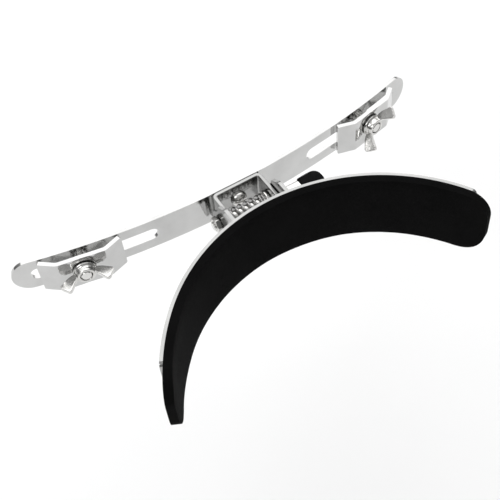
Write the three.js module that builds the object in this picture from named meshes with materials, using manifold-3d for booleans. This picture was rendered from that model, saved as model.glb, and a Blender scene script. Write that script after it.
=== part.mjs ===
// Drum leg rest: a curved slotted strip that clamps to a drum's tension rods, and a padded
// knee arch that folds up on a sprung hinge pin.
// Units are millimetres. +X runs along the strip, +Y points to the drum shell, +Z is up.
// The origin is the centre of the strip's back face, where the strip lies against the drum.
import * as THREE from 'three';
import { mergeVertices } from 'three/addons/utils/BufferGeometryUtils.js';
import Module from 'manifold-3d';

const wasm = await Module();
wasm.setup();

// ---- driving dimensions ----
const GAP = 0.3;                 // clearance between touching pieces

const STRIP = { length: 244, width: 20, thick: 2, radius: 438, flatHalf: 17, plainEnd: 44 };
const SLOT = { inner: 45.2, outer: 112.5, height: 7.6 };
const BOLT = { radius: 2.9, hole: 3.6, neck: 6.4, headRadius: 6.5, headHeight: 2.4, reach: 11 };
const HAT = { footHalf: 20.9, foldHalf: 12.8, height: 6.85, thick: 2.2, width: 20, at: 86.5 };
const DISH = { radius: 10.5, depth: 1.2 };
const WING = { baseRadius: 6.2, topRadius: 4.7, height: 4.3, thick: 2.4, seat: 6.7 };
const WING_TURN = { left: 4, right: 45 };                       // degrees about the bolt

const CHANNEL = { width: 29, height: 20, thick: 2, front: -31.0, bend: 3 };
const SCREW = { radius: 2.4, headRadius: 4.5, headHeight: 2.8, nutAcross: 8, nutHeight: 3 };
const PIN = { y: -13.2, radius: 2.5, hole: 2.85, left: -20.8, right: 22 };
const SPRING = { mean: 3.9, wire: 0.55, turns: 7, start: -11.6, end: 9.4 };

const ARCH = { y: -130, z: 7, radius: 96.3, thick: 1.6, width: 39.2, ends: [63.5, 63.5], corner: 3 };
const FOAM = { thick: 4.5, ends: [72, 68.8], lowCorner: 16, highCorner: 12 };   // glued a little left
const EAR = { thick: 2, bottom: -12, top: 17.3, rear: -6.4 };
const STOP_REACH = 17.8;         // the channel arms' nose, measured from the hinge pin

const stripY = STRIP.radius * Math.cos(STRIP.flatHalf / STRIP.radius);   // centre of curvature
const stripFront = stripY - (STRIP.radius + STRIP.thick) * Math.cos(STRIP.flatHalf / STRIP.radius);
const webBack = stripFront - GAP;
const webFront = webBack - CHANNEL.thick;
const archApex = ARCH.y + ARCH.radius;
const padWebFront = archApex + GAP;
const padWebBack = padWebFront + EAR.thick;
const earInner = CHANNEL.width / 2 + 0.35;
const earOuter = earInner + EAR.thick;

// ---- materials ----
const metal = (color, roughness) => new THREE.MeshStandardMaterial({ color, roughness, metalness: 1 });
const chrome = () => metal(0xd4d4d2, 0.14);
const nickel = () => metal(0xb9b8b2, 0.28);
const foamBlack = () => new THREE.MeshStandardMaterial({ color: 0x0b0b0c, roughness: 0.95, metalness: 0 });
const vinylBlack = () => new THREE.MeshStandardMaterial({ color: 0x0e0e10, roughness: 0.55, metalness: 0 });

// ---- solids ----
const rad = THREE.MathUtils.degToRad;
const vec = (x, y, z) => new THREE.Vector3(x, y, z);

function solid(geometry) {
  const plain = geometry.index ? geometry : geometry.clone();
  plain.deleteAttribute('normal');
  plain.deleteAttribute('uv');
  const merged = mergeVertices(plain, 1e-4);
  return new wasm.Manifold(new wasm.Mesh({
    numProp: 3,
    vertProperties: Float32Array.from(merged.attributes.position.array),
    triVerts: Uint32Array.from(merged.index.array),
  }));
}

function geometryOf(manifold) {
  const mesh = manifold.getMesh();
  const geometry = new THREE.BufferGeometry();
  geometry.setAttribute('position', new THREE.BufferAttribute(mesh.vertProperties, 3));
  geometry.setIndex(new THREE.BufferAttribute(mesh.triVerts, 1));
  return geometry;
}

const shapeOf = (points) => new THREE.Shape(points.map(([u, v]) => new THREE.Vector2(u, v)));

function extrude(shape, depth, curveSegments = 12) {
  return new THREE.ExtrudeGeometry(shape, { depth, bevelEnabled: false, curveSegments });
}

// A prism whose outline lies in the plane of u and v, centred on the origin along u x v.
function prism(shape, depth, u, v, curveSegments = 12) {
  const geometry = extrude(shape, depth, curveSegments).translate(0, 0, -depth / 2);
  const w = u.clone().cross(v);
  return geometry.applyMatrix4(new THREE.Matrix4().makeBasis(u, v, w));
}

const X = vec(1, 0, 0);
const Y = vec(0, 1, 0);
const Z = vec(0, 0, 1);

// A round bar along an axis, from one station to another.
function rod(radius, from, to, axis, sides = 24) {
  const bar = new THREE.CylinderGeometry(radius, radius, to - from, sides);
  bar.translate(0, (from + to) / 2, 0);
  if (axis === 'x') bar.rotateZ(-Math.PI / 2);
  if (axis === 'z') bar.rotateX(Math.PI / 2);
  return bar;
}

// A hexagonal bar along X or Y with an across-flats size.
const hexBar = (across, from, to, axis) => rod(across / Math.sqrt(3), from, to, axis, 6);

// A ring or turned piece: profile of [radius, height] about +Y, closing on itself or on the axis.
const turned = (profile, sides = 28) =>
  new THREE.LatheGeometry(profile.map(([r, h]) => new THREE.Vector2(r, h)), sides);

function arcPoints(cx, cy, radius, fromDeg, toDeg, steps) {
  return Array.from({ length: steps + 1 }, (_, i) => {
    const a = rad(fromDeg + ((toDeg - fromDeg) * i) / steps);
    return [cx + radius * Math.cos(a), cy + radius * Math.sin(a)];
  });
}

function stadium(halfLength, height) {
  const r = height / 2;
  const straight = halfLength - r;
  return shapeOf([...arcPoints(straight, 0, r, -90, 90, 12), ...arcPoints(-straight, 0, r, 90, 270, 12)]);
}

// A rectangle with its two corners at the high u end rounded.
function roundedEnd(u0, v0, u1, v1, low, high, steps = 6) {
  return shapeOf([
    [u0, v0], ...arcPoints(u1 - low, v0 + low, low, -90, 0, steps),
    ...arcPoints(u1 - high, v1 - high, high, 0, 90, steps), [u0, v1],
  ]);
}

// ---- model tree ----
const group = new THREE.Group();

function add(name, geometry, material, parent = group) {
  const mesh = new THREE.Mesh(geometry, material);
  mesh.name = name;
  parent.add(mesh);
  return mesh;
}

// ---- slotted strip ----
function stripStations() {
  const half = STRIP.length / 2;
  const fine = 10;
  const side = [STRIP.flatHalf, STRIP.plainEnd];
  for (let i = 1; i <= fine; i++) side.push(STRIP.plainEnd + ((half + 2 - STRIP.plainEnd) * i) / fine);
  return [...side.map((s) => -s).reverse(), ...side];
}

function slottedStrip() {
  const stations = stripStations();
  const line = (radius) => stations.map((s) => {
    const a = s / STRIP.radius;
    return [radius * Math.sin(a), stripY - radius * Math.cos(a)];
  });
  const band = shapeOf([...line(STRIP.radius + STRIP.thick), ...line(STRIP.radius).reverse()]);
  const endX = STRIP.radius * Math.sin(STRIP.length / 2 / STRIP.radius);
  let body = solid(prism(band, STRIP.width, X, Y));
  const outline = prism(stadium(endX, STRIP.width), 120, X, Z);
  body = body.intersect(solid(outline));
  for (const side of [-1, 1]) {
    const [from, to] = [SLOT.inner, SLOT.outer].map((s) => STRIP.radius * Math.sin(s / STRIP.radius));
    const slot = prism(stadium((to - from) / 2, SLOT.height), 120, X, Z);
    body = body.subtract(solid(slot.translate((side * (from + to)) / 2, 0, 0)));
  }
  return geometryOf(body.subtract(solid(rod(SCREW.radius + GAP, -10, 10, 'y'))));
}

// ---- channel bracket at the middle of the strip ----
function channelBracket() {
  const { width, thick, bend, height, front } = CHANNEL;
  const outer = width / 2;
  const inner = outer - thick;
  const plan = shapeOf([
    [-outer, front - 1], ...arcPoints(-outer + bend, webBack - bend, bend, 180, 90, 5),
    ...arcPoints(outer - bend, webBack - bend, bend, 90, 0, 5), [outer, front - 1],
    [inner, front - 1], ...arcPoints(inner - 1, webFront - 1, 1, 0, 90, 3),
    ...arcPoints(-inner + 1, webFront - 1, 1, 90, 180, 3), [-inner, front - 1],
  ]);
  const top = height / 2;
  const noseAngle = THREE.MathUtils.radToDeg(Math.asin(top / STOP_REACH));
  const side = shapeOf([
    [webBack + 1, -top], [webBack + 1, top],
    ...arcPoints(PIN.y, 0, STOP_REACH, 180 - noseAngle, 180, 8), [PIN.y - STOP_REACH, -top],
  ]);
  let body = solid(prism(plan, height, X, Y)).intersect(solid(prism(side, width + 10, Y, Z)));
  body = body.subtract(solid(rod(PIN.hole, -30, 30, 'x').translate(0, PIN.y, 0)));
  return geometryOf(body.subtract(solid(rod(SCREW.radius + GAP, -10, 10, 'y'))));
}

// Slotted pan-head screw through the channel's web and the strip, with its nut at the back.
function channelScrew() {
  const seat = webFront - GAP;
  const head = turned([
    [0, 0], [SCREW.headRadius, 0], [SCREW.headRadius, -1.6], [SCREW.headRadius - 0.9, -2.5],
    [0, -SCREW.headHeight],
  ].reverse()).translate(0, seat, 0);
  const shank = rod(SCREW.radius, seat - 0.5, GAP + SCREW.nutHeight + 0.8, 'y');
  const driver = new THREE.BoxGeometry(12, 1.4, 1.1).translate(0, seat - SCREW.headHeight + 0.2, 0);
  driver.rotateY(rad(10));
  return geometryOf(solid(head).add(solid(shank)).subtract(solid(driver)));
}

function channelNut() {
  const body = solid(hexBar(SCREW.nutAcross, GAP, GAP + SCREW.nutHeight, 'y'));
  return geometryOf(body.subtract(solid(rod(SCREW.radius + GAP, -1, 9, 'y'))));
}

// ---- rod clamps: each local frame has +X along the strip, +Y outward, +Z up ----
function clampFrame(side) {
  const angle = (side * HAT.at) / STRIP.radius;
  const radius = STRIP.radius + STRIP.thick;
  const frame = new THREE.Group();
  const outward = vec(Math.sin(angle), -Math.cos(angle), 0);
  const along = vec(-Math.cos(angle), -Math.sin(angle), 0);
  const place = new THREE.Matrix4().makeBasis(along, outward, Z);
  place.setPosition(radius * Math.sin(angle), stripY - radius * Math.cos(angle), 0);
  place.decompose(frame.position, frame.quaternion, frame.scale);
  group.add(frame);
  return frame;
}

function clampBolt() {
  const back = -STRIP.thick - GAP;
  const head = turned([
    [0, back - BOLT.headHeight], [BOLT.headRadius * 0.55, back - BOLT.headHeight * 0.85],
    [BOLT.headRadius * 0.88, back - BOLT.headHeight * 0.45], [BOLT.headRadius, back - 0.3],
    [BOLT.headRadius, back], [0, back],
  ]);
  const neck = new THREE.BoxGeometry(BOLT.neck, STRIP.thick + 0.5, BOLT.neck);
  neck.translate(0, back - 0.2 + STRIP.thick / 2 + 0.25, 0);
  const shank = rod(BOLT.radius, back - 0.5, BOLT.reach, 'y');
  return geometryOf(solid(head).add(solid(neck)).add(solid(shank)));
}

function dishSphere(topHeight) {
  const ball = (DISH.radius ** 2 + DISH.depth ** 2) / (2 * DISH.depth);
  const span = Math.asin(DISH.radius / ball) * 1.15;
  const cap = [[0, ball + 12]];
  for (let i = 6; i >= 0; i--) cap.push([ball * Math.sin((span * i) / 6), ball - ball * Math.cos((span * i) / 6)]);
  cap.splice(1, 0, [cap[1][0], ball + 12]);
  return turned(cap.reverse(), 32).translate(0, topHeight - DISH.depth, 0);
}

// Sheet bracket with a raised middle, sloping legs and a shallow round dish under the wing nut.
function rodBracket() {
  const { footHalf, foldHalf, height, thick, width } = HAT;
  const slope = Math.atan2(height - thick, footHalf - foldHalf + 2);
  const foldIn = thick * Math.tan(slope / 2);
  const endX = footHalf + thick * Math.sin(slope);
  const endY = thick * Math.cos(slope);
  const outline = shapeOf([
    [-endX, endY], [-footHalf, 0], [-foldHalf + foldIn, height - thick], [foldHalf - foldIn, height - thick],
    [footHalf, 0], [endX, endY], [foldHalf, height], [-foldHalf, height],
  ]);
  const plate = solid(prism(outline, width, X, Y).translate(0, GAP, 0));
  const ceiling = dishSphere(height + GAP);
  const under = dishSphere(height + GAP - thick);
  const slab = new THREE.BoxGeometry(width, thick, width).translate(0, height + GAP - thick - 1, 0);
  const bulge = solid(slab).intersect(solid(under));
  let body = plate.add(bulge).subtract(solid(ceiling));
  body = body.subtract(solid(rod(BOLT.hole, -5, 20, 'y')));
  return geometryOf(body);
}

function wingNut() {
  const { baseRadius, topRadius, height, thick, seat } = WING;
  const boss = turned([
    [0, 0], [baseRadius, 0], [baseRadius, 0.9], [topRadius + 0.3, 1.5], [topRadius, height], [0, height],
  ]);
  const wing = shapeOf([[3.5, 0.6], [8, 1.4], [13.6, 5.4], [14, 6.4], [10.6, 10.4], [9.4, 10.4], [6.2, 6.4], [3.5, 3.6]]);
  const plate = prism(wing, thick, X, Y);
  const other = plate.clone().rotateY(Math.PI);
  let body = solid(boss).add(solid(plate)).add(solid(other));
  body = body.subtract(solid(rod(BOLT.radius + GAP, -5, 20, 'y')));
  return geometryOf(body).translate(0, seat, 0);
}

function addClamp(name, side) {
  const frame = clampFrame(side);
  add(`${name}_clamp_bolt`, clampBolt(), nickel(), frame);
  add(`${name}_rod_bracket`, rodBracket(), chrome(), frame);
  const nut = add(`${name}_wing_nut`, wingNut(), nickel(), frame);
  nut.rotation.y = rad(WING_TURN[name]);
}

// ---- knee arch: a band round a vertical axis, trimmed to rounded ends ----
function archBand(outer, inner, ends, lowCorner, highCorner) {
  const steps = 44;
  const over = Math.max(...ends) + 4;
  const band = shapeOf([
    ...arcPoints(0, ARCH.y, outer, 90 - over, 90 + over, steps),
    ...arcPoints(0, ARCH.y, inner, 90 + over, 90 - over, steps),
  ]);
  let body = solid(prism(band, ARCH.width, X, Y).translate(0, 0, ARCH.z));
  const far = 400;
  for (const side of [-1, 1]) {
    const a = rad(side < 0 ? ends[0] : ends[1]);
    const tangent = vec(side * Math.cos(a), -Math.sin(a), 0);
    const end = tangent.dot(vec(side * outer * Math.sin(a), ARCH.y + outer * Math.cos(a), 0));
    const low = ARCH.z - ARCH.width / 2;
    const outline = roundedEnd(end - far, low, end, low + ARCH.width, lowCorner, highCorner);
    body = body.intersect(solid(prism(outline, 2 * far, tangent, Z)));
  }
  return body;
}

const rivetPlaces = [-7, 7].map((x) => [x, (EAR.top + EAR.bottom) / 2]);
const RIVET = { radius: 1.8, headRadius: 3.2, headHeight: 1.2 };

function kneePlate() {
  let body = archBand(ARCH.radius, ARCH.radius - ARCH.thick, ARCH.ends, ARCH.corner, ARCH.corner);
  for (const [x, z] of rivetPlaces) {
    body = body.subtract(solid(rod(RIVET.radius + GAP, -50, -20, 'y').translate(x, 0, z)));
  }
  return geometryOf(body);
}

function foamPad() {
  const outer = ARCH.radius - ARCH.thick - GAP;
  const { ends, lowCorner, highCorner } = FOAM;
  return geometryOf(archBand(outer, outer - FOAM.thick, ends, lowCorner, highCorner));
}

// The hinge bracket riveted to the arch: a flat web with an ear on each side of the channel.
function kneeBracket() {
  const plan = shapeOf([
    [-earOuter, padWebFront], [earOuter, padWebFront], [earOuter, EAR.rear + 5], [earInner, EAR.rear + 5],
    [earInner, padWebBack], [-earInner, padWebBack], [-earInner, EAR.rear + 5], [-earOuter, EAR.rear + 5],
  ]);
  const pinTop = EAR.rear - PIN.y;
  const side = shapeOf([
    [padWebFront - 1, EAR.bottom], [EAR.rear - 3.4, EAR.bottom],
    ...arcPoints(EAR.rear - 3, EAR.bottom + 3, 3, -90, 0, 4),
    ...arcPoints(PIN.y, 0, pinTop, 0, 40, 4), [-17.2, 14.1],
    ...arcPoints(-22.4, 11.3, 6, 60, 90, 3), [padWebFront - 1, EAR.top],
  ]);
  const tall = EAR.top - EAR.bottom;
  let body = solid(prism(plan, tall + 2, X, Y).translate(0, 0, (EAR.top + EAR.bottom) / 2));
  body = body.intersect(solid(prism(side, 60, Y, Z)));
  body = body.subtract(solid(rod(PIN.hole, -30, 30, 'x').translate(0, PIN.y, 0)));
  for (const [x, z] of rivetPlaces) {
    body = body.subtract(solid(rod(RIVET.radius + GAP, -50, -20, 'y').translate(x, 0, z)));
  }
  return geometryOf(body);
}

function kneeRivet() {
  const flush = archApex - ARCH.thick + GAP;
  const seat = padWebBack + GAP;
  const head = turned([
    [0, seat], [RIVET.headRadius, seat], [RIVET.headRadius * 0.8, seat + 0.8], [0, seat + RIVET.headHeight],
  ]);
  return solid(head).add(solid(rod(RIVET.radius, flush, seat + 0.5, 'y')));
}

// ---- hinge pin, spring and release lever ----
function hingePin() {
  return rod(PIN.radius, PIN.left, PIN.right, 'x').translate(0, PIN.y, 0);
}

function pinNut() {
  const from = -earOuter - GAP;
  const body = solid(hexBar(8, from - 2.7, from, 'x').rotateX(rad(15)));
  return geometryOf(body.subtract(solid(rod(PIN.radius + GAP, -40, 0, 'x')))).translate(0, PIN.y, 0);
}

class Helix extends THREE.Curve {
  getPoint(t, target = new THREE.Vector3()) {
    const turn = 2 * Math.PI * SPRING.turns * t + 0.6;
    const x = SPRING.start + (SPRING.end - SPRING.start) * t;
    return target.set(x, PIN.y + SPRING.mean * Math.cos(turn), SPRING.mean * Math.sin(turn));
  }
}

function pinSpring() {
  const wire = new THREE.Shape(new THREE.Path().absarc(0, 0, SPRING.wire, 0, 2 * Math.PI).getSpacedPoints(6));
  return new THREE.ExtrudeGeometry(wire, { steps: SPRING.turns * 14, extrudePath: new Helix() });
}

function springCollar() {
  const ring = turned([[PIN.radius + GAP, 0], [5, 0], [5, 1.6], [PIN.radius + GAP, 1.6], [PIN.radius + GAP, 0]]);
  return ring.rotateZ(-Math.PI / 2).translate(SPRING.end + 1, PIN.y, 0);
}

// Flat lever from the pin's end, widening to the front, in the plane of the pin.
const LEVER = { start: 22.3, end: 43, thick: 2, back: 0.9 };

function releaseLever() {
  const back = PIN.y + LEVER.back;
  const blade = shapeOf([
    [LEVER.start, back], [LEVER.end - 1, back], [LEVER.end, back - 1], [LEVER.end, -20.5],
    [LEVER.end - 1, -21.5], [LEVER.start + 7, -18.6], [LEVER.start + 2.5, -16.2], [LEVER.start, -16.2],
  ]);
  return prism(blade, LEVER.thick, X, Y);
}

function leverGrip() {
  const cover = shapeOf([
    [32.0, -10.9], ...arcPoints(41.8, -13.3, 2.5, 90, 0, 4), ...arcPoints(41.2, -20.6, 3, 0, -75, 4),
    [31.4, -20.7],
  ]);
  const pocket = shapeOf([
    [30, PIN.y + LEVER.back + GAP], [LEVER.end + GAP, PIN.y + LEVER.back + GAP], [LEVER.end + GAP, -21.9],
    [30, -19.2],
  ]);
  const body = solid(prism(cover, 4.8, X, Y));
  return geometryOf(body.subtract(solid(prism(pocket, LEVER.thick + 2 * GAP, X, Y))));
}

add('slotted_strip', slottedStrip(), chrome());
add('channel_bracket', channelBracket(), chrome());
add('channel_screw', channelScrew(), nickel());
add('channel_nut', channelNut(), nickel());
addClamp('left', -1);
addClamp('right', 1);
add('knee_plate', kneePlate(), chrome());
add('knee_bracket', kneeBracket(), chrome());
rivetPlaces.forEach(([x, z], i) => {
  add(['left_rivet', 'right_rivet'][i], geometryOf(kneeRivet()).translate(x, 0, z), nickel());
});
add('foam_pad', foamPad(), foamBlack());
add('hinge_pin', hingePin(), nickel());
add('pin_nut', pinNut(), nickel());
add('pin_spring', pinSpring(), nickel());
add('spring_collar', springCollar(), nickel());
add('release_lever', releaseLever(), nickel());
add('lever_grip', leverGrip(), vinylBlack());

export default group;
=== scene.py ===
"""Drum leg rest: a slotted strip with two rod clamps, and a padded knee arch on a sprung hinge pin."""
import math

import bmesh
import bpy
from mathutils import Matrix, Vector, noise


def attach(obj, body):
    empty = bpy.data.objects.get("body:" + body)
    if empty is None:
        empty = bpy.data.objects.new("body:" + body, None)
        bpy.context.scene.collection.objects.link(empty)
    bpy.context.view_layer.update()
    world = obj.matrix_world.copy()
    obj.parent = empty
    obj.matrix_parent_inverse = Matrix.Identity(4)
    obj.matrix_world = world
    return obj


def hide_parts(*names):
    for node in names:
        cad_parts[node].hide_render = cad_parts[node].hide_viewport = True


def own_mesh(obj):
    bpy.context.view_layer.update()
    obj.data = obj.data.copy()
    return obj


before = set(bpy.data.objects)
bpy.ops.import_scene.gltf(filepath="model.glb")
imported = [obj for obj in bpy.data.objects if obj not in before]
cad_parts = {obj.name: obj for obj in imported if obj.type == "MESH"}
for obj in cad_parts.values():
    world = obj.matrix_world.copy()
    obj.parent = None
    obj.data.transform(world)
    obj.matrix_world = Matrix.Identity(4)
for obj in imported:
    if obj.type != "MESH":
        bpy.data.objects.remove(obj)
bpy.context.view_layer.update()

MM = 0.001
X, Y, Z = Vector((1, 0, 0)), Vector((0, 1, 0)), Vector((0, 0, 1))

# ---- sizes, in millimetres, as in the CAD source ----
STRIP_LENGTH, STRIP_WIDTH, STRIP_THICK = 244.0, 20.0, 2.0
STRIP_RADIUS, STRIP_FLAT = 438.0, 17.0
SLOT_INNER, SLOT_OUTER, SLOT_HEIGHT = 45.2, 112.5, 7.6
STRIP_CENTRE = STRIP_RADIUS * math.cos(STRIP_FLAT / STRIP_RADIUS)
STRIP_FRONT = STRIP_CENTRE - (STRIP_RADIUS + STRIP_THICK) * math.cos(STRIP_FLAT / STRIP_RADIUS)

CLAMP_AT = 86.5
BOLT_RADIUS, BOLT_HEAD, BOLT_REACH = 2.9, 6.5, 11.0
BRACKET_THICK, BRACKET_FOLD, BRACKET_RISE = 2.2, 12.5, 6.05
BRACKET_HALF, BRACKET_LEG_ANGLE = 22.4, math.radians(28.1)
DISH_RADIUS, DISH_DEPTH = 10.5, 1.2
WING_TURN = {"left": 4.0, "right": 45.0}
WING_SEAT, WING_HEIGHT = 6.7, 4.3

CHANNEL_HALF, SHEET, CHANNEL_NOSE = 14.5, 2.0, 17.8
WEB_BACK = STRIP_FRONT - 0.3
PIN_Y, PIN_RADIUS = -13.2, 2.5
SPRING_RADIUS, SPRING_WIRE, SPRING_TURNS = 3.9, 0.55, 7.0

ARCH_Y, ARCH_Z, ARCH_RADIUS, ARCH_WIDTH = -130.0, 7.0, 96.3, 39.2
PLATE_THICK, PLATE_HALF = 1.6, math.radians(63.5)
FOAM_THICK, FOAM_ENDS = 4.5, (math.radians(72.0), math.radians(68.8))
FOAM_LOW_CORNER, FOAM_HIGH_CORNER = 16.0, 12.0
RELAX_FROM, RELAX = 46.0, 0.0032     # degrees, and millimetres per degree squared
KNEE_WEB = -32.4          # middle of the knee bracket's web
EAR_MIDDLE = 15.85
RIVET_X, RIVET_Z = 7.0, 2.65
RIVET_RADIUS, RIVET_HEAD, RIVET_RISE = 1.9, 3.2, 1.25
RIVET_HOLE, SCREW_HOLE, PIN_HOLE = 2.0, 2.7, 2.75

SCREW_RADIUS, SCREW_HEAD, SCREW_RISE, SCREW_TURN = 2.45, 4.5, 2.9, 10.0
SCREW_END, NUT_ACROSS = 4.3, 8.0
FINE_PITCH, BOLT_PITCH = 0.8, 1.0
SPRING_START, SPRING_END, PRESS_TRAVEL = -11.6, 9.4, 4.0
PIN_START, PIN_THREAD_END, PIN_SHOULDER = -20.8, -16.6, 19.4
COLLAR_LOW, COLLAR_HIGH, COLLAR_RADIUS = 10.4, 12.0, 5.0
BLADE_START, BLADE_END = 19.0, 43.2
GRIP_START, GRIP_END, GRIP_SQUARENESS = 31.5, 44.4, 0.62
SHARP_ANGLE = 35.0        # degrees; edges sharper than this are rounded

# ---- studio ----
CAMERA_PLACE, CAMERA_LENS = (-140.97, -296.92, 370.03), 67.75
CAMERA_RIGHT, CAMERA_BACK = (0.84998, -0.52176, -0.07282), (-0.27214, -0.55322, 0.78733)
FLOOR_SIZE, FLOOR_DROP = 6, 0.16       # metres


# ---- shared helpers ----
def arc(cu, cv, radius, start, end, steps):
    """Points on an arc in degrees, both ends included."""
    turn = [math.radians(start + (end - start) * i / steps) for i in range(steps + 1)]
    return [(cu + radius * math.cos(a), cv + radius * math.sin(a)) for a in turn]


def circle(cu, cv, radius, steps=48):
    return arc(cu, cv, radius, 0, 360, steps)[:-1]


def rounded_rectangle(u0, v0, u1, v1, r, steps=8):
    return (arc(u1 - r, v0 + r, r, -90, 0, steps) + arc(u1 - r, v1 - r, r, 0, 90, steps)
            + arc(u0 + r, v1 - r, r, 90, 180, steps) + arc(u0 + r, v0 + r, r, 180, 270, steps))


def stadium(cu, half_length, height, steps=20):
    r = height / 2
    flat = half_length - r
    return arc(cu + flat, 0, r, -90, 90, steps) + arc(cu - flat, 0, r, 90, 270, steps)


def steps_between(low, high, size):
    count = max(1, math.ceil((high - low) / size))
    return [low + (high - low) * i / count for i in range(count + 1)]


def finished(name, bm):
    """Turns a finished bmesh into an object of the scene."""
    mesh = bpy.data.meshes.new(name)
    bm.to_mesh(mesh)
    bm.free()
    obj = bpy.data.objects.new(name, mesh)
    bpy.context.collection.objects.link(obj)
    return obj


def skin(bm, rings):
    """Quads from each ring of points to the next."""
    for low, high in zip(rings, rings[1:]):
        for i in range(len(low)):
            j = (i + 1) % len(low)
            bm.faces.new((low[i], low[j], high[j], high[i]))


def skin_and_cap(bm, rings):
    skin(bm, rings)
    bm.faces.new(rings[0])
    bm.faces.new(list(reversed(rings[-1])))
    bmesh.ops.recalc_face_normals(bm, faces=bm.faces[:])


def along_x(obj):
    """Lays a piece made along +Y down along +X."""
    obj.data.transform(Matrix.Rotation(-math.pi / 2, 4, "Z"))


def bake_modifiers(obj):
    """Replaces the object's mesh by the result of its modifiers."""
    depsgraph = bpy.context.evaluated_depsgraph_get()
    mesh = bpy.data.meshes.new_from_object(obj.evaluated_get(depsgraph))
    obj.modifiers.clear()
    obj.data = mesh


def settle(obj, bevel=0.0, segments=3):
    """Rounds the sharp edges, shades smooth and keeps the flat faces flat."""
    for polygon in obj.data.polygons:
        polygon.use_smooth = True
    if bevel:
        rounding = obj.modifiers.new("edges", "BEVEL")
        rounding.width = bevel * MM
        rounding.segments = segments
        rounding.limit_method = "ANGLE"
        rounding.angle_limit = math.radians(SHARP_ANGLE)
        rounding.use_clamp_overlap = True
        rounding.miter_outer = "MITER_ARC"
    weigh = obj.modifiers.new("normals", "WEIGHTED_NORMAL")
    weigh.keep_sharp = True
    weigh.weight = 80
    bake_modifiers(obj)


def fit_out(obj, material, body, node):
    obj.data.materials.clear()
    obj.data.materials.append(material)
    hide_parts(node)
    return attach(obj, body)


def blank(outline, holes=(), cut_u=(), cut_v=()):
    """A flat blank in (u, v) with its holes, divided along the given lines so that it can be bent."""
    bm = bmesh.new()
    edges = []
    for loop in [outline, *holes]:
        verts = [bm.verts.new((u, v, 0)) for u, v in loop]
        edges += [bm.edges.new((verts[i], verts[(i + 1) % len(verts)])) for i in range(len(verts))]
    bmesh.ops.triangle_fill(bm, use_beauty=True, edges=edges, normal=Z)
    for place, normal in [((u, 0, 0), X) for u in cut_u] + [((0, v, 0), Y) for v in cut_v]:
        geometry = bm.verts[:] + bm.edges[:] + bm.faces[:]
        bmesh.ops.bisect_plane(bm, geom=geometry, dist=1e-5, plane_co=place, plane_no=normal)
    return bm


def pressed_sheet(name, bm, form):
    """A solid sheet from a flat blank: form(u, v, w) places each point, with w 0 and 1 on its two faces."""
    lower = bm.verts[:]
    faces = bm.faces[:]
    rim = [e for e in bm.edges if len(e.link_faces) == 1]
    upper = {v: bm.verts.new((v.co.x, v.co.y, 1)) for v in lower}
    for face in faces:
        bm.faces.new([upper[v] for v in face.verts])
        face.normal_flip()
    for edge in rim:
        a, b = edge.verts
        bm.faces.new((a, b, upper[b], upper[a]))
    for vert in bm.verts:
        vert.co = Vector(form(vert.co.x, vert.co.y, vert.co.z)) * MM
    bmesh.ops.recalc_face_normals(bm, faces=bm.faces[:])
    return finished(name, bm)


def bend_line(*runs):
    """The middle line of a sheet bent alike on both sides: runs of (length, turn) from its centre out."""
    def at(u):
        side = -1 if u < 0 else 1
        left, x, y, heading = abs(u), 0.0, 0.0, 0.0
        for length, turn in runs:
            step = min(left, length)
            if turn:
                k = turn / length
                x += (math.sin(heading + k * step) - math.sin(heading)) / k
                y -= (math.cos(heading + k * step) - math.cos(heading)) / k
                heading += k * step
            else:
                x += step * math.cos(heading)
                y += step * math.sin(heading)
            left -= step
            if left <= 0:
                break
        return Vector((side * x, y)), Vector((-side * math.sin(heading), math.cos(heading)))
    return at


def turned(name, profile, sides=64, axis="y"):
    """A turned piece from a profile of (radius, height) about +Y; each profile point is in millimetres."""
    bm = bmesh.new()
    rings = []
    for r, h in profile:
        if r < 1e-6:
            rings.append([bm.verts.new((0, h * MM, 0))])
            continue
        turn = [2 * math.pi * i / sides for i in range(sides)]
        rings.append([bm.verts.new((r * MM * math.cos(a), h * MM, r * MM * math.sin(a))) for a in turn])
    for low, high in zip(rings, rings[1:]):
        for i in range(sides):
            j = (i + 1) % sides
            corners = [low[i % len(low)], low[j % len(low)], high[j % len(high)], high[i % len(high)]]
            unique = list(dict.fromkeys(corners))
            if len(unique) > 2:
                bm.faces.new(unique)
    bmesh.ops.remove_doubles(bm, verts=bm.verts[:], dist=1e-8)
    bmesh.ops.recalc_face_normals(bm, faces=bm.faces[:])
    obj = finished(name, bm)
    if axis == "x":
        along_x(obj)
    return obj


def thread_bar(name, radius, start, end, pitch, sides=48):
    """A threaded bar along +Y: a real helical thread between two chamfered ends."""
    depth = 0.55 * pitch
    rows_per_turn = 8
    rows = int((end - start) / pitch * rows_per_turn)
    bm = bmesh.new()
    rings = []
    for row in range(rows + 1):
        h = start + (end - start) * row / rows
        near_end = min(h - start, end - h)
        ring = []
        for i in range(sides):
            a = 2 * math.pi * i / sides
            phase = (h / pitch - i / sides) % 1.0
            tooth = abs(phase - 0.5) * 2
            tooth = min(1.0, max(0.0, (tooth - 0.15) / 0.7))
            r = radius - depth * tooth
            r = min(r, radius - depth * 0.9 + near_end * 0.9)
            ring.append(bm.verts.new((r * MM * math.cos(a), h * MM, r * MM * math.sin(a))))
        rings.append(ring)
    skin_and_cap(bm, rings)
    obj = finished(name, bm)
    settle(obj)
    return obj


def join(name, *parts):
    """Joins objects into the first one."""
    bpy.ops.object.select_all(action="DESELECT")
    for part in parts:
        part.select_set(True)
    bpy.context.view_layer.objects.active = parts[0]
    bpy.ops.object.join()
    parts[0].name = name
    return parts[0]


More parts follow.
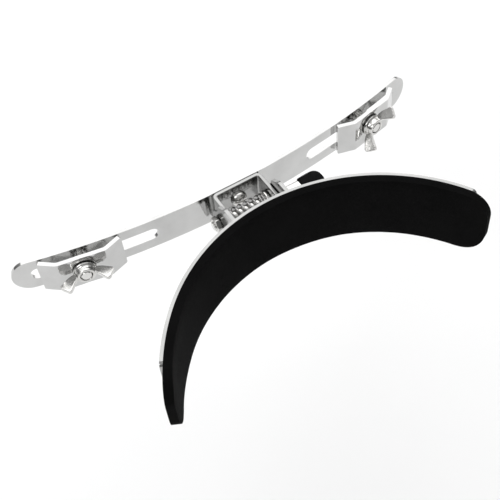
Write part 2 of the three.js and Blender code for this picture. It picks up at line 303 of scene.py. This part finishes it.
def hex_nut(name, across, height, bore, axis="y"):
    """A hexagonal nut with chamfered corners and a countersunk bore, standing on its base along +Y."""
    corner = across / math.sqrt(3)
    sides = 72
    bm = bmesh.new()
    chamfer = 0.55
    rows = [(bore + 0.35, 0.0, False), (across / 2 * 0.97, 0.0, False), (corner, chamfer, True),
            (corner, height - chamfer, True), (across / 2 * 0.97, height, False),
            (bore + 0.35, height, False), (bore, height - 0.35, False), (bore, 0.35, False)]
    rings = []
    for r, h, hexed in rows:
        ring = []
        for i in range(sides):
            a = 2 * math.pi * i / sides
            to_flat = (a + math.pi / 6) % (math.pi / 3) - math.pi / 6
            reach = across / 2 / math.cos(to_flat)
            rr = min(r, reach) if hexed else r
            hh = h
            if hexed:
                slope = (reach - across / 2 * 0.97) * 0.55
                hh = slope if h < height / 2 else height - slope
            ring.append(bm.verts.new((rr * MM * math.cos(a), hh * MM, rr * MM * math.sin(a))))
        rings.append(ring)
    skin(bm, rings + rings[:1])
    bmesh.ops.recalc_face_normals(bm, faces=bm.faces[:])
    obj = finished(name, bm)
    if axis == "x":
        along_x(obj)
    settle(obj, bevel=0.12, segments=2)
    return obj


# ---- materials ----
class Shader:
    """Short ways to add nodes to one material."""

    def __init__(self, name):
        self.material = bpy.data.materials.new(name)
        self.material.use_nodes = True
        self.tree = self.material.node_tree
        self.surface = self.tree.nodes["Principled BSDF"]
        coordinates = self.tree.nodes.new("ShaderNodeTexCoord")
        scale = self.tree.nodes.new("ShaderNodeVectorMath")
        scale.operation = "SCALE"
        scale.inputs["Scale"].default_value = 1 / MM
        self.link(coordinates.outputs["Object"], scale.inputs[0])
        self.place = scale.outputs["Vector"]          # object coordinates in millimetres

    def link(self, a, b):
        self.tree.links.new(a, b)

    def stretched(self, factors):
        node = self.tree.nodes.new("ShaderNodeVectorMath")
        node.operation = "MULTIPLY"
        node.inputs[1].default_value = factors
        self.link(self.place, node.inputs[0])
        return node.outputs["Vector"]

    def noise(self, scale, detail=4.0, roughness=0.55, vector=None):
        node = self.tree.nodes.new("ShaderNodeTexNoise")
        node.inputs["Scale"].default_value = scale
        node.inputs["Detail"].default_value = detail
        node.inputs["Roughness"].default_value = roughness
        self.link(vector or self.place, node.inputs["Vector"])
        return node.outputs["Fac"]

    def cells(self, scale):
        node = self.tree.nodes.new("ShaderNodeTexVoronoi")
        node.inputs["Scale"].default_value = scale
        self.link(self.place, node.inputs["Vector"])
        return node.outputs["Distance"]

    def ranged(self, value, low, high, to_low, to_high):
        node = self.tree.nodes.new("ShaderNodeMapRange")
        for name, number in zip(("From Min", "From Max", "To Min", "To Max"), (low, high, to_low, to_high)):
            node.inputs[name].default_value = number
        self.link(value, node.inputs["Value"])
        return node.outputs["Result"]

    def mixed(self, factor, first, second):
        node = self.tree.nodes.new("ShaderNodeMix")
        node.data_type = "RGBA"
        self.link(factor, node.inputs["Factor"])
        for socket, colour in ((node.inputs[6], first), (node.inputs[7], second)):
            if isinstance(colour, tuple):
                socket.default_value = (*colour, 1)
            else:
                self.link(colour, socket)
        return node.outputs[2]

    def sum(self, *values):
        total = values[0]
        for value in values[1:]:
            node = self.tree.nodes.new("ShaderNodeMath")
            node.operation = "ADD"
            self.link(total, node.inputs[0])
            self.link(value, node.inputs[1])
            total = node.outputs["Value"]
        return total

    def bump(self, height, distance, strength=1.0):
        node = self.tree.nodes.new("ShaderNodeBump")
        node.inputs["Strength"].default_value = strength
        node.inputs["Distance"].default_value = distance * MM
        self.link(height, node.inputs["Height"])
        self.link(node.outputs["Normal"], self.surface.inputs["Normal"])


def plated_steel(name, light, dark, smooth, rough, grain, rolled):
    """Bright plate over rolled steel: faint clouding, hairline polishing marks and handling smudges."""
    s = Shader(name)
    s.surface.inputs["Metallic"].default_value = 1.0
    clouds = s.ranged(s.noise(0.06, 5.0), 0.35, 0.68, 0.0, 1.0)
    s.link(s.mixed(clouds, light, dark), s.surface.inputs["Base Color"])
    smudges = s.ranged(s.noise(0.16, 6.0, 0.65), 0.45, 0.72, smooth, rough)
    hairlines = s.ranged(s.noise(1.0, 3.0, 0.6, s.stretched(rolled)), 0.4, 0.75, 0.0, grain)
    s.link(s.sum(smudges, hairlines), s.surface.inputs["Roughness"])
    ripple = s.ranged(s.noise(0.35, 2.0), 0.3, 0.7, 0.0, 1.0)
    lines = s.ranged(s.noise(1.0, 2.0, 0.5, s.stretched(rolled)), 0.3, 0.7, 0.0, 0.12)
    s.bump(s.sum(ripple, lines), 0.012)
    return s.material


def cast_plate(name):
    """Nickel plate over a cast or cut surface: softer, with a fine pitted skin."""
    s = Shader(name)
    s.surface.inputs["Metallic"].default_value = 1.0
    clouds = s.ranged(s.noise(0.25, 5.0), 0.35, 0.7, 0.0, 1.0)
    s.link(s.mixed(clouds, (0.70, 0.695, 0.68), (0.56, 0.555, 0.54)), s.surface.inputs["Base Color"])
    s.link(s.ranged(s.noise(0.9, 6.0, 0.7), 0.35, 0.75, 0.12, 0.30), s.surface.inputs["Roughness"])
    skin_grain = s.ranged(s.noise(1.6, 4.0), 0.3, 0.7, 0.0, 1.0)
    pits = s.ranged(s.cells(2.2), 0.0, 0.5, 0.0, 0.5)
    s.bump(s.sum(skin_grain, pits), 0.015)
    return s.material


def closed_cell_foam():
    """Matt black foam: fine open pores, a slight nap and patches rubbed a little greyer."""
    s = Shader("black_foam_skin")
    rubbed = s.ranged(s.noise(0.05, 5.0, 0.6), 0.4, 0.7, 0.0, 1.0)
    specks = s.ranged(s.noise(2.4, 3.0, 0.7), 0.55, 0.75, 0.0, 0.45)
    base = s.mixed(rubbed, (0.0026, 0.0026, 0.0027), (0.0042, 0.0041, 0.0042))
    s.link(s.mixed(specks, base, (0.0075, 0.0075, 0.0076)), s.surface.inputs["Base Color"])
    s.link(s.ranged(s.noise(0.8, 4.0), 0.3, 0.7, 0.82, 0.98), s.surface.inputs["Roughness"])
    s.surface.inputs["Specular IOR Level"].default_value = 0.05
    pores = s.ranged(s.cells(1.9), 0.0, 0.55, 0.0, 1.0)
    fine = s.ranged(s.noise(3.6, 5.0, 0.7), 0.3, 0.7, 0.0, 0.7)
    s.bump(s.sum(pores, fine), 0.11, 0.9)
    return s.material


def dipped_vinyl():
    """Black dipped vinyl: a soft sheen with slight sag ripples from the dip."""
    s = Shader("black_vinyl_dip")
    patches = s.ranged(s.noise(0.3, 4.0), 0.4, 0.7, 0.0, 1.0)
    s.link(s.mixed(patches, (0.004, 0.004, 0.0042), (0.007, 0.007, 0.0072)), s.surface.inputs["Base Color"])
    s.link(s.ranged(s.noise(0.7, 5.0), 0.35, 0.7, 0.5, 0.66), s.surface.inputs["Roughness"])
    s.surface.inputs["Specular IOR Level"].default_value = 0.04
    sags = s.ranged(s.noise(0.5, 3.0), 0.3, 0.7, 0.0, 1.0)
    fine = s.ranged(s.noise(4.0), 0.3, 0.7, 0.0, 0.15)
    s.bump(s.sum(sags, fine), 0.06)
    return s.material


CHROME = plated_steel(
    "chromed_sheet", (0.60, 0.60, 0.595), (0.53, 0.53, 0.525),
    0.09, 0.16, 0.04, (0.05, 1.5, 6.0))
# The strip's chrome with a darker base colour: painted shade on the knee plate and knee bracket.
ARCH_CHROME_PAINTED_SHADE = plated_steel(
    "chromed_arch_painted_shade", (0.42, 0.42, 0.415), (0.36, 0.36, 0.355),
    0.11, 0.19, 0.04, (0.05, 0.05, 5.0))
# The strip's chrome with a darker base colour: painted shade on the channel bracket.
CHANNEL_CHROME_PAINTED_SHADE = plated_steel(
    "chromed_channel_painted_shade", (0.40, 0.40, 0.395), (0.33, 0.33, 0.325),
    0.16, 0.26, 0.03, (0.05, 1.0, 5.0))
SPRING_STEEL = plated_steel(
    "spring_wire", (0.46, 0.455, 0.45), (0.36, 0.355, 0.35),
    0.14, 0.24, 0.03, (2.5, 0.4, 0.4))
TURNED = plated_steel(
    "nickel_turned", (0.72, 0.715, 0.70), (0.60, 0.595, 0.58),
    0.12, 0.22, 0.05, (2.5, 0.4, 0.4))
CAST = cast_plate("nickel_cast")
FOAM = closed_cell_foam()
VINYL = dipped_vinyl()


# ---- slotted strip ----
def strip_form(u, v, w):
    radius = STRIP_RADIUS + STRIP_THICK * (1 - w)
    edge = STRIP_FLAT / STRIP_RADIUS
    if abs(u) <= STRIP_FLAT:
        return (u / STRIP_FLAT * radius * math.sin(edge), STRIP_CENTRE - radius * math.cos(edge), v)
    a = u / STRIP_RADIUS
    return (radius * math.sin(a), STRIP_CENTRE - radius * math.cos(a), v)


def make_strip():
    slots = [stadium(side * (SLOT_INNER + SLOT_OUTER) / 2, (SLOT_OUTER - SLOT_INNER) / 2, SLOT_HEIGHT)
             for side in (-1, 1)]
    outline = stadium(0, STRIP_LENGTH / 2, STRIP_WIDTH, 32)
    stations = steps_between(-STRIP_LENGTH / 2 + 1, STRIP_LENGTH / 2 - 1, 1.9) + [-STRIP_FLAT, STRIP_FLAT]
    bm = blank(outline, [*slots, circle(0, 0, SCREW_HOLE)], stations, (-7.0, 0.0, 7.0))
    strip = pressed_sheet("strip_plate", bm, strip_form)
    settle(strip, bevel=0.4, segments=4)
    fit_out(strip, CHROME, "strip_assembly", "slotted_strip")


# ---- channel bracket, screw and nut ----
def make_channel():
    bend = (SHEET + 1 + 1) / 2
    at = bend_line((CHANNEL_HALF - 3, 0), (bend * math.pi / 2, -math.pi / 2), (200, 0))
    middle = WEB_BACK - SHEET / 2
    straight = CHANNEL_HALF - 3 + bend * math.pi / 2 + middle - bend      # developed length less y on an arm
    top = 10.0
    nose = math.degrees(math.asin(top / CHANNEL_NOSE))
    pin_u = straight - PIN_Y
    arm = arc(pin_u, 0, CHANNEL_NOSE, 0, nose, 14)
    right = [(pin_u + CHANNEL_NOSE, -top + 0.6), (pin_u + CHANNEL_NOSE, 0), *arm[1:]]
    low = [(pin_u + CHANNEL_NOSE - 0.6, -top)]
    outline = low + right + [(-u, v) for u, v in reversed(right)] + [(-u, v) for u, v in low]
    holes = [circle(0, 0, SCREW_HOLE), circle(pin_u, 0, PIN_HOLE), circle(-pin_u, 0, PIN_HOLE)]
    start = CHANNEL_HALF - 3
    bends = steps_between(start, start + bend * math.pi / 2, 0.4)
    cuts = bends + [-u for u in bends]

    def form(u, v, w):
        place, normal = at(u)
        point = place + normal * (w - 0.5) * SHEET
        return (point.x, middle + point.y, v)

    channel = pressed_sheet("channel_shell", blank(outline, holes, cuts), form)
    settle(channel, bevel=0.35)
    fit_out(channel, CHANNEL_CHROME_PAINTED_SHADE, "strip_assembly", "channel_bracket")


def cut_away(obj, tool):
    difference = obj.modifiers.new("cut", "BOOLEAN")
    difference.operation = "DIFFERENCE"
    difference.solver = "EXACT"
    difference.object = tool
    bake_modifiers(obj)
    bpy.data.objects.remove(tool, do_unlink=True)


def block(name, size, centre, turn=None):
    bm = bmesh.new()
    bmesh.ops.create_cube(bm, size=1)
    for vert in bm.verts:
        vert.co = Vector(vert.co[i] * size[i] * MM for i in range(3))
    if turn is not None:
        bmesh.ops.transform(bm, matrix=turn, verts=bm.verts[:])
    bmesh.ops.translate(bm, vec=Vector(centre) * MM, verts=bm.verts[:])
    return finished(name, bm)


def make_channel_screw():
    seat = WEB_BACK - SHEET
    radius, height = SCREW_HEAD, SCREW_RISE
    profile = [(0, 0), (radius - 0.15, 0)] + [
        (radius * abs(math.cos(math.radians(t))) ** 0.72, -0.3 - (height - 0.3) * math.sin(math.radians(t)))
        for t in range(0, 91, 6)]
    profile[-1] = (0, -height)
    head = turned("channel_screw_head", profile, 72)
    head.data.transform(Matrix.Translation((0, seat * MM, 0)))
    turn = Matrix.Rotation(math.radians(SCREW_TURN), 4, "Y")
    cut_away(head, block("driver", (12, 1.5, 1.15), (0, seat - height + 0.35, 0), turn))
    settle(head, bevel=0.12)
    shank = thread_bar("channel_screw_shank", SCREW_RADIUS, seat - 0.4, SCREW_END, FINE_PITCH)
    screw = join("channel_screw_piece", head, shank)
    fit_out(screw, TURNED, "strip_assembly", "channel_screw")
    nut = hex_nut("channel_nut_piece", NUT_ACROSS, 3.1, SCREW_RADIUS)
    nut.data.transform(Matrix.Translation((0, 0.12 * MM, 0)))
    fit_out(nut, TURNED, "strip_assembly", "channel_nut")


# ---- rod clamps ----
def clamp_matrix(side):
    a = side * CLAMP_AT / STRIP_RADIUS
    radius = STRIP_RADIUS + STRIP_THICK
    return Matrix((
        (-math.cos(a), math.sin(a), 0, radius * math.sin(a) * MM),
        (-math.sin(a), -math.cos(a), 0, (STRIP_CENTRE - radius * math.cos(a)) * MM),
        (0, 0, 1, 0),
        (0, 0, 0, 1),
    ))


def make_rod_bracket(name, side):
    radius = 3.0
    bend = radius * BRACKET_LEG_ANGLE
    start = BRACKET_FOLD - radius * math.tan(BRACKET_LEG_ANGLE / 2)
    at = bend_line((start, 0), (bend, -BRACKET_LEG_ANGLE), (100, 0))
    outline = rounded_rectangle(-BRACKET_HALF, -10, BRACKET_HALF, 10, 0.8, 4)
    bends = steps_between(start, start + bend, 0.25)
    cuts = steps_between(-start, start, 0.7) + bends[1:] + [-u for u in bends[1:]]
    rows = steps_between(-9.6, 9.6, 0.7)

    def form(u, v, w):
        place, normal = at(u)
        point = place + normal * (w - 0.5) * BRACKET_THICK
        reach = math.hypot(point.x, v) / DISH_RADIUS
        sunk = DISH_DEPTH * max(0.0, 1 - reach * reach)
        return (point.x, BRACKET_RISE + point.y - sunk, v)

    bracket = pressed_sheet(f"{name}_bracket_sheet", blank(outline, [circle(0, 0, 3.6)], cuts, rows), form)
    bracket.data.transform(clamp_matrix(side))
    settle(bracket, bevel=0.45, segments=4)
    fit_out(bracket, CHROME, f"{name}_clamp", f"{name}_rod_bracket")


def make_clamp_bolt(name, side):
    back = -STRIP_THICK - 0.25
    dome = [(BOLT_HEAD * math.cos(math.radians(t)), back - 0.35 - 2.05 * math.sin(math.radians(t)))
            for t in range(0, 90, 6)]
    head = turned(f"{name}_bolt_head", [(0, back), (BOLT_HEAD - 0.2, back), *dome, (0, back - 2.4)], 72)
    settle(head, bevel=0.1)
    neck = block(f"{name}_bolt_neck", (6.4, 2.4, 6.4), (0, back + 1.1, 0))
    settle(neck, bevel=0.4)
    shank = thread_bar(f"{name}_bolt_shank", BOLT_RADIUS + 0.05, back, BOLT_REACH, BOLT_PITCH)
    bolt = join(f"{name}_bolt_piece", head, neck, shank)
    bolt.data.transform(clamp_matrix(side))
    fit_out(bolt, TURNED, f"{name}_carriage", f"{name}_clamp_bolt")


def make_wing_nut(name, side):
    """A cast nut: a flared boss with two upswept wings, fused and softened as a casting is."""
    boss = turned(f"{name}_nut_boss", [
        (3.2, 0.0), (6.0, 0.0), (6.2, 0.25), (6.2, 0.8), (5.9, 1.1), (5.3, 1.5), (4.95, 2.4), (4.8, 3.6),
        (4.6, WING_HEIGHT), (3.5, WING_HEIGHT), (3.2, WING_HEIGHT - 0.3), (3.2, 0.0)], 72)
    parts = [boss]
    outline = [(3.9, 0.9), (7.0, 1.3), (9.2, 2.2), *arc(12.4, 6.0, 1.5, -40, 38, 6),
               *arc(10.0, 9.0, 1.4, 44, 134, 6), (6.9, 6.9), (5.2, 4.6), (3.9, 3.9)]
    for turn in (0, math.pi):
        bm = blank(outline)
        wing = pressed_sheet(f"{name}_nut_wing", bm, lambda u, v, w: (u, v, (w - 0.5) * (2.7 - 0.05 * u)))
        wing.data.transform(Matrix.Rotation(turn, 4, "Y"))
        settle(wing, bevel=0.55, segments=4)
        parts.append(wing)
    nut = join(f"{name}_nut_piece", *parts)
    fused = nut.modifiers.new("fuse", "REMESH")
    fused.mode = "VOXEL"
    fused.voxel_size = 0.24 * MM
    soft = nut.modifiers.new("soften", "SMOOTH")
    soft.factor = 0.5
    soft.iterations = 3
    bake_modifiers(nut)
    turn = Matrix.Rotation(math.radians(WING_TURN[name]), 4, "Y")
    nut.data.transform(clamp_matrix(side) @ Matrix.Translation((0, WING_SEAT * MM, 0)) @ turn)
    settle(nut)
    fit_out(nut, CAST, f"{name}_wing", f"{name}_wing_nut")


# ---- knee arch ----
def arch_point(u, radius):
    """A point on the arch: a circle, relaxed a little at its left end and straight past the plate's ends."""
    angle = u / ARCH_RADIUS
    held = max(-PLATE_HALF, min(PLATE_HALF, angle))
    relaxed = max(0.0, -math.degrees(held) - RELAX_FROM)
    spread = RELAX * relaxed * relaxed
    lean = 2 * RELAX * relaxed * math.degrees(1) / ARCH_RADIUS
    out = Vector((math.sin(held), math.cos(held)))
    along = Vector((math.cos(held), -math.sin(held)))
    past = (angle - held) * ARCH_RADIUS
    return Vector((0, ARCH_Y)) + out * (radius + spread + abs(past) * lean) + along * past


def arch_form(radius):
    def form(u, v, w):
        point = arch_point(u, radius(w))
        return (point.x, point.y, ARCH_Z + v)
    return form


def make_knee_plate():
    half = PLATE_HALF * ARCH_RADIUS
    outline = rounded_rectangle(-half, -ARCH_WIDTH / 2, half, ARCH_WIDTH / 2, 3, 8)
    form = arch_form(lambda w: ARCH_RADIUS - PLATE_THICK * w)
    holes = [circle(side * RIVET_X, RIVET_Z - ARCH_Z, RIVET_HOLE, 24) for side in (-1, 1)]
    bm = blank(outline, holes, steps_between(-half + 1, half - 1, 1.5), (-12.0, 0.0, 12.0))
    plate = pressed_sheet("knee_plate_sheet", bm, form)
    settle(plate, bevel=0.35)
    fit_out(plate, ARCH_CHROME_PAINTED_SHADE, "knee_arch", "knee_plate")


def make_foam_pad():
    """Die-cut foam glued inside the arch: edges slightly pinched, face a little uneven."""
    left, right = (angle * ARCH_RADIUS for angle in FOAM_ENDS)
    outer = ARCH_RADIUS - PLATE_THICK - 0.03
    half_width = ARCH_WIDTH / 2
    low, high = FOAM_LOW_CORNER, FOAM_HIGH_CORNER
    outline = (arc(right - low, low - half_width, low, -90, 0, 16)
               + arc(right - high, half_width - high, high, 0, 90, 16)
               + arc(high - left, half_width - high, high, 90, 180, 16)
               + arc(low - left, low - half_width, low, 180, 270, 16))
    bm = blank(outline, (), steps_between(1 - left, right - 1, 1.8), steps_between(-18.8, 18.8, 1.9))

    def form(u, v, w):
        rim = min(left + u, right - u, half_width - abs(v))
        pinch = 0.35 * math.exp(-max(rim, 0.0) / 1.6)
        wave = 0.22 * noise.noise(Vector((u * 0.045, v * 0.07, 3.1)))
        wave += 0.05 * noise.noise(Vector((u * 0.35, v * 0.35, 8.4)))
        point = arch_point(u, outer - w * (FOAM_THICK - pinch + wave))
        return (point.x, point.y, ARCH_Z + v)

    pad = pressed_sheet("foam_pad_lining", bm, form)
    settle(pad, bevel=0.7, segments=4)
    fit_out(pad, FOAM, "knee_arch", "foam_pad")


def make_knee_bracket():
    bend = 1.9
    web = EAR_MIDDLE - bend
    at = bend_line((web, 0), (bend * math.pi / 2, math.pi / 2), (100, 0))
    shift = web + bend * math.pi / 2 - KNEE_WEB - bend            # developed length plus y on an ear
    low = -12.0
    ear = [
        (-10.2, low), *arc(-9.4, low + 3, 3, -75, 0, 6), *arc(PIN_Y, 0, 6.8, 0, 40, 8),
        (-12.6, 9.0), *arc(-16.0, 11.0, 3.0, 42, 48, 1), *arc(-22.4, 11.3, 6, 45, 90, 6),
    ]
    right = [(y + shift, z) for y, z in ear]
    outline = right + [(-u, v) for u, v in reversed(right)]
    pin_u = PIN_Y + shift
    holes = [circle(pin_u, 0, PIN_HOLE), circle(-pin_u, 0, PIN_HOLE)]
    holes += [circle(side * RIVET_X, RIVET_Z, RIVET_HOLE, 24) for side in (-1, 1)]
    bends = steps_between(web, web + bend * math.pi / 2, 0.35)

    def form(u, v, w):
        place, normal = at(u)
        point = place + normal * (w - 0.5) * SHEET
        return (point.x, KNEE_WEB + point.y, v)

    bracket = pressed_sheet("knee_bracket_shell", blank(outline, holes, bends + [-u for u in bends]), form)
    settle(bracket, bevel=0.35)
    fit_out(bracket, ARCH_CHROME_PAINTED_SHADE, "knee_arch", "knee_bracket")


def make_rivets():
    seat = KNEE_WEB + SHEET / 2
    front = ARCH_Y + ARCH_RADIUS - PLATE_THICK + 0.05
    for name, x in (("left_rivet", -RIVET_X), ("right_rivet", RIVET_X)):
        dome = [(RIVET_HEAD * math.cos(math.radians(t)), seat + RIVET_RISE * math.sin(math.radians(t)))
                for t in range(7, 90, 7)]
        rivet = turned(f"{name}_piece", [
            (0, front), (RIVET_RADIUS, front), (RIVET_RADIUS, seat), (RIVET_HEAD, seat), *dome,
            (0, seat + RIVET_RISE)])
        rivet.data.transform(Matrix.Translation((x * MM, 0, RIVET_Z * MM)))
        settle(rivet, bevel=0.08)
        fit_out(rivet, TURNED, "knee_arch", name)


# ---- hinge pin, spring, nut and release lever ----
def loft(name, sections, sides=40):
    """Skins rounded sections across X: each is (x, y, half depth, half height, squareness)."""
    bm = bmesh.new()
    rings = []
    for x, y, depth, height, power in sections:
        ring = []
        for i in range(sides):
            a = 2 * math.pi * i / sides
            c, s = math.cos(a), math.sin(a)
            ring.append(bm.verts.new((x * MM, (y + depth * math.copysign(abs(c) ** power, c)) * MM,
                                      height * math.copysign(abs(s) ** power, s) * MM)))
        rings.append(ring)
    skin_and_cap(bm, rings)
    return finished(name, bm)


def make_spring():
    """Compression spring with closed ends."""
    start, end = SPRING_START, SPRING_END
    closed, close_pitch = 0.9, 1.15
    turns = SPRING_TURNS + 0.3
    open_pitch = (end - start - 2 * closed * close_pitch) / (turns - 2 * closed)
    steps, sides = int(turns * 44), 14
    bm = bmesh.new()
    rings = []
    for i in range(steps + 1):
        t = turns * i / steps
        x = start + min(t, closed) * close_pitch + max(0, min(t, turns - closed) - closed) * open_pitch
        x += max(0, t - turns + closed) * close_pitch
        a = 2 * math.pi * t + 0.6
        out = Vector((0, math.cos(a), math.sin(a)))
        along = Vector((open_pitch / (2 * math.pi * SPRING_RADIUS), -math.sin(a), math.cos(a))).normalized()
        side = along.cross(out).normalized()
        centre = Vector((x, PIN_Y, 0)) + out * SPRING_RADIUS
        ring = []
        for k in range(sides):
            b = 2 * math.pi * k / sides
            ring.append(bm.verts.new((centre + (out * math.cos(b) + side * math.sin(b)) * SPRING_WIRE) * MM))
        rings.append(ring)
    skin_and_cap(bm, rings)
    spring = finished("spring_coil", bm)
    settle(spring)
    fit_out(spring, SPRING_STEEL, "strip_assembly", "pin_spring")
    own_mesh(spring)


def make_pin():
    thread = thread_bar("pin_thread", PIN_RADIUS, PIN_START, PIN_THREAD_END, FINE_PITCH)
    along_x(thread)
    body = turned("pin_body", [
        (0, PIN_THREAD_END - 0.2), (PIN_RADIUS - 0.3, PIN_THREAD_END - 0.2),
        (PIN_RADIUS, PIN_THREAD_END + 0.2), (PIN_RADIUS, PIN_SHOULDER), (0, PIN_SHOULDER)], 56, axis="x")
    settle(body)
    pin = join("hinge_pin_piece", body, thread)
    pin.data.transform(Matrix.Translation((0, PIN_Y * MM, 0)))
    fit_out(pin, TURNED, "lock_pin", "hinge_pin")

    nut = hex_nut("pin_nut_piece", NUT_ACROSS, 2.7, PIN_RADIUS, axis="x")
    turn = Matrix.Rotation(math.radians(15), 4, "X")
    nut.data.transform(Matrix.Translation(Vector((-19.85, PIN_Y, 0)) * MM) @ turn)
    fit_out(nut, TURNED, "lock_pin", "pin_nut")

    bore, low, high, outside = PIN_RADIUS + 0.02, COLLAR_LOW, COLLAR_HIGH, COLLAR_RADIUS
    ring = [(bore, low + 0.2), (bore, high - 0.2), (PIN_RADIUS + 0.2, high), (outside - 0.3, high),
            (outside, high - 0.3), (outside, low + 0.3), (outside - 0.3, low), (PIN_RADIUS + 0.2, low),
            (bore, low + 0.2)]
    collar = turned("spring_collar_piece", ring, 56, axis="x")
    collar.data.transform(Matrix.Translation((0, PIN_Y * MM, 0)))
    settle(collar)
    fit_out(collar, TURNED, "lock_pin", "spring_collar")


def ease(t):
    t = max(0.0, min(1.0, t))
    return t * t * (3 - 2 * t)


def make_lever():
    """The pin's end, forged flat into a blade that widens to the front, with a dipped grip on it."""
    sections = []
    for x in steps_between(BLADE_START, BLADE_END, 0.6):
        flat = ease((x - 19.4) / 4.2)
        wide = ease((x - 23.5) / 8.0)
        back = PIN_Y + PIN_RADIUS * (1 - flat) + 0.9 * flat
        front = PIN_Y - PIN_RADIUS * (1 - flat) - 3.0 * flat - (4.6 * wide + 0.1 * max(0, x - GRIP_START))
        height = PIN_RADIUS * (1 - flat) + 1.0 * flat
        sections.append((x, (back + front) / 2, (back - front) / 2, height, 1.0 - 0.72 * flat))
    blade = loft("release_lever_piece", sections, 48)
    settle(blade, bevel=0.1, segments=2)
    fit_out(blade, TURNED, "lock_pin", "release_lever")

    sections = []
    start, end = GRIP_START, GRIP_END
    for i in range(33):
        t = i / 32
        x = start + (end - start) * t
        from_end = end - x
        cap = math.sqrt(max(0.0, 1 - max(0.0, 1 - from_end / 4.8) ** 2))
        lip = math.sqrt(max(0.0, 1 - max(0.0, 1 - (x - start) / 0.8) ** 2))
        back = -10.9 - 0.25 * (1 - ease((x - start) / 5))
        front = -19.2 - 2.6 * t
        depth = (back - front) / 2 * (0.18 + 0.82 * cap) * (0.93 + 0.07 * lip)
        height = (1.95 + 0.45 * ease(t * 1.6)) * (0.2 + 0.8 * cap) * (0.8 + 0.2 * lip)
        sections.append((x, (back + front) / 2, depth, height, GRIP_SQUARENESS))
    grip = loft("lever_grip_piece", sections, 56)
    settle(grip, bevel=0.3, segments=3)
    fit_out(grip, VINYL, "lock_pin", "lever_grip")


# ---- camera, light and floor ----
def make_camera():
    data = bpy.data.cameras.new("camera")
    data.sensor_width = 36.0
    data.lens = CAMERA_LENS
    data.clip_start, data.clip_end = 0.02, 20
    camera = bpy.data.objects.new("camera", data)
    bpy.context.collection.objects.link(camera)
    right = Vector(CAMERA_RIGHT).normalized()
    back = Vector(CAMERA_BACK)
    back = (back - right * back.dot(right)).normalized()
    up = back.cross(right)
    turn = Matrix((right, up, back)).transposed().to_4x4()
    camera.matrix_world = Matrix.Translation(Vector(CAMERA_PLACE) * MM) @ turn
    bpy.context.scene.camera = camera


def area_light(name, place, target, size, power):
    data = bpy.data.lights.new(name, "AREA")
    data.shape = "RECTANGLE"
    data.size, data.size_y = size
    data.energy = power
    light = bpy.data.objects.new(name, data)
    bpy.context.collection.objects.link(light)
    light.location = place
    light.rotation_euler = (Vector(target) - Vector(place)).to_track_quat("-Z", "Y").to_euler()


def make_studio():
    bpy.ops.mesh.primitive_plane_add(size=FLOOR_SIZE, location=(0, 0, -FLOOR_DROP))
    floor = bpy.context.object
    floor.name = "floor"
    paint = bpy.data.materials.new("pale_floor")
    paint.use_nodes = True
    surface = paint.node_tree.nodes["Principled BSDF"]
    surface.inputs["Base Color"].default_value = (0.93, 0.93, 0.93, 1)
    surface.inputs["Roughness"].default_value = 0.9
    surface.inputs["Specular IOR Level"].default_value = 0.1
    floor.data.materials.append(paint)

    world = bpy.data.worlds.new("studio")
    bpy.context.scene.world = world
    world.use_nodes = True
    tree = world.node_tree
    background = tree.nodes["Background"]
    place = tree.nodes.new("ShaderNodeTexCoord")
    split = tree.nodes.new("ShaderNodeSeparateXYZ")
    ramp = tree.nodes.new("ShaderNodeValToRGB")
    horizon, sky = ramp.color_ramp.elements
    horizon.position, horizon.color = 0.0, (0.30, 0.30, 0.30, 1)
    sky.position, sky.color = 0.75, (0.95, 0.95, 0.95, 1)
    ramp.color_ramp.elements.new(0.3).color = (0.42, 0.42, 0.42, 1)
    tree.links.new(place.outputs["Generated"], split.inputs[0])
    tree.links.new(split.outputs["Z"], ramp.inputs[0])
    tree.links.new(ramp.outputs[0], background.inputs["Color"])
    background.inputs["Strength"].default_value = 0.62
    area_light("overhead", (0.32, 0.66, 1.05), (0, 0, 0), (2.4, 2.4), 23)
    area_light("side", (-0.9, -0.5, 0.8), (0, -0.03, 0), (0.5, 0.7), 4)
    bpy.context.scene.view_settings.view_transform = "Standard"


make_camera()
make_strip()
make_channel()
make_channel_screw()
for clamp_name, clamp_side in (("left", -1), ("right", 1)):
    make_rod_bracket(clamp_name, clamp_side)
    make_clamp_bolt(clamp_name, clamp_side)
    make_wing_nut(clamp_name, clamp_side)
make_knee_plate()
make_foam_pad()
make_knee_bracket()
make_rivets()
make_spring()
make_pin()
make_lever()
make_studio()

bpy.context.view_layer.update()
